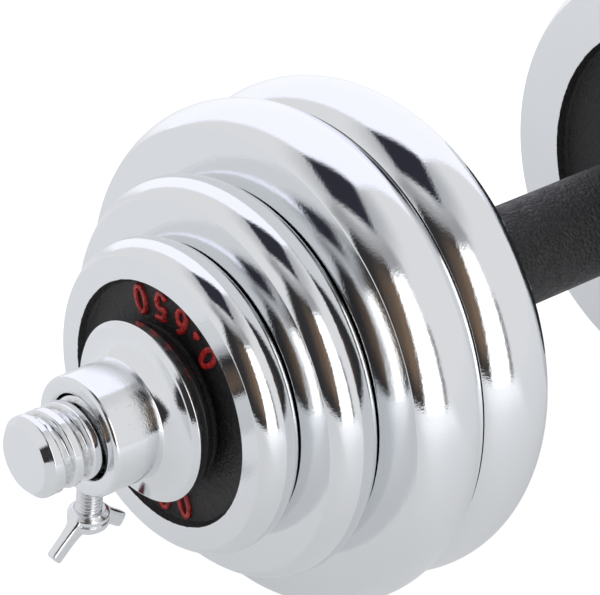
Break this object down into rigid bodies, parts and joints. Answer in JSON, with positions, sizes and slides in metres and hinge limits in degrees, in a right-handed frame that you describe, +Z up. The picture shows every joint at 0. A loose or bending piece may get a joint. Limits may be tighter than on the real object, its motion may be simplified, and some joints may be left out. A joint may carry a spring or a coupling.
{
  "type": "adjustable dumbbell",
  "caption": "Dumbbell with a rubber grip on a threaded steel bar; round chromed plates slide on each end and a flanged collar with a wing screw locks them.",
  "frame": {"origin": "middle of the bar, on its axis", "axes": "+X along the bar, towards the right-hand plates; +Z up, away from the wing screws"},
  "size_m": [0.412, 0.16, 0.16],
  "materials": {
    "chrome_bar": "bright chrome plating on turned steel",
    "chrome_plate": "bright chrome plating on cast iron, with satin black paint in the recessed faces",
    "chrome_collar": "bright chrome plating",
    "screw_steel": "zinc plated threaded steel",
    "grip_rubber": "matt rubber with a fine grain",
    "washer_rubber": "smooth black rubber"
  },
  "bodies": {
    "bar": {"bar": "chrome_bar", "grip_sleeve": "grip_rubber", "stop_ring_left": "chrome_bar", "stop_ring_right": "chrome_bar"},
    "large_plate_inner_left": {"large_plate_inner_left": "chrome_plate"},
    "large_plate_outer_left": {"large_plate_outer_left": "chrome_plate"},
    "medium_plate_left": {"medium_plate_left": "chrome_plate"},
    "small_plate_left": {"small_plate_left": "chrome_plate"},
    "washer_left": {"washer_left": "washer_rubber"},
    "collar_left": {"collar_left": "chrome_collar"},
    "lock_screw_left": {"lock_screw_left": "screw_steel"},
    "wing_head_left": {"wing_head_left": "chrome_collar"},
    "large_plate_inner_right": {"large_plate_inner_right": "chrome_plate"},
    "large_plate_outer_right": {"large_plate_outer_right": "chrome_plate"},
    "medium_plate_right": {"medium_plate_right": "chrome_plate"},
    "small_plate_right": {"small_plate_right": "chrome_plate"},
    "washer_right": {"washer_right": "washer_rubber"},
    "collar_right": {"collar_right": "chrome_collar"},
    "lock_screw_right": {"lock_screw_right": "screw_steel"},
    "wing_head_right": {"wing_head_right": "chrome_collar"}
  },
  "joints": [
    {"name": "large_plate_inner_slide_left", "type": "slide", "parent": "bar", "child": "large_plate_inner_left", "axis": [-1, 0, 0], "range_m": [0, 0.14]},
    {"name": "large_plate_outer_slide_left", "type": "slide", "parent": "large_plate_inner_left", "child": "large_plate_outer_left", "axis": [-1, 0, 0], "range_m": [0, 0.113]},
    {"name": "medium_plate_slide_left", "type": "slide", "parent": "large_plate_outer_left", "child": "medium_plate_left", "axis": [-1, 0, 0], "range_m": [0, 0.086]},
    {"name": "small_plate_slide_left", "type": "slide", "parent": "medium_plate_left", "child": "small_plate_left", "axis": [-1, 0, 0], "range_m": [0, 0.067]},
    {"name": "washer_slide_left", "type": "slide", "parent": "small_plate_left", "child": "washer_left", "axis": [-1, 0, 0], "range_m": [0, 0.052]},
    {"name": "collar_spin_left", "type": "hinge", "parent": "washer_left", "child": "collar_left", "pos_m": [-0.1741, 0, 0], "axis": [-1, 0, 0], "continuous": true},
    {"name": "lock_screw_travel_left", "type": "slide", "parent": "collar_left", "child": "lock_screw_left", "axis": [0, 0, -1], "range_m": [0, 0.005]},
    {"name": "wing_turn_left", "type": "hinge", "parent": "lock_screw_left", "child": "wing_head_left", "pos_m": [-0.181, 0, -0.0316], "axis": [0, 0, -1], "range_deg": [0, 1440.5]},
    {"name": "large_plate_inner_slide_right", "type": "slide", "parent": "bar", "child": "large_plate_inner_right", "axis": [1, 0, 0], "range_m": [0, 0.14]},
    {"name": "large_plate_outer_slide_right", "type": "slide", "parent": "large_plate_inner_right", "child": "large_plate_outer_right", "axis": [1, 0, 0], "range_m": [0, 0.113]},
    {"name": "medium_plate_slide_right", "type": "slide", "parent": "large_plate_outer_right", "child": "medium_plate_right", "axis": [1, 0, 0], "range_m": [0, 0.086]},
    {"name": "small_plate_slide_right", "type": "slide", "parent": "medium_plate_right", "child": "small_plate_right", "axis": [1, 0, 0], "range_m": [0, 0.067]},
    {"name": "washer_slide_right", "type": "slide", "parent": "small_plate_right", "child": "washer_right", "axis": [1, 0, 0], "range_m": [0, 0.052]},
    {"name": "collar_spin_right", "type": "hinge", "parent": "washer_right", "child": "collar_right", "pos_m": [0.1741, 0, 0], "axis": [1, 0, 0], "continuous": true},
    {"name": "lock_screw_travel_right", "type": "slide", "parent": "collar_right", "child": "lock_screw_right", "axis": [0, 0, -1], "range_m": [0, 0.005]},
    {"name": "wing_turn_right", "type": "hinge", "parent": "lock_screw_right", "child": "wing_head_right", "pos_m": [0.181, 0, -0.0316], "axis": [0, 0, -1], "range_deg": [0, 1440.5]}
  ],
  "couplings": [
    {"joint": "wing_turn_left", "follows": "lock_screw_travel_left", "rad_per_m": 5026.5},
    {"joint": "wing_turn_right", "follows": "lock_screw_travel_right", "rad_per_m": 5026.5}
  ]
}
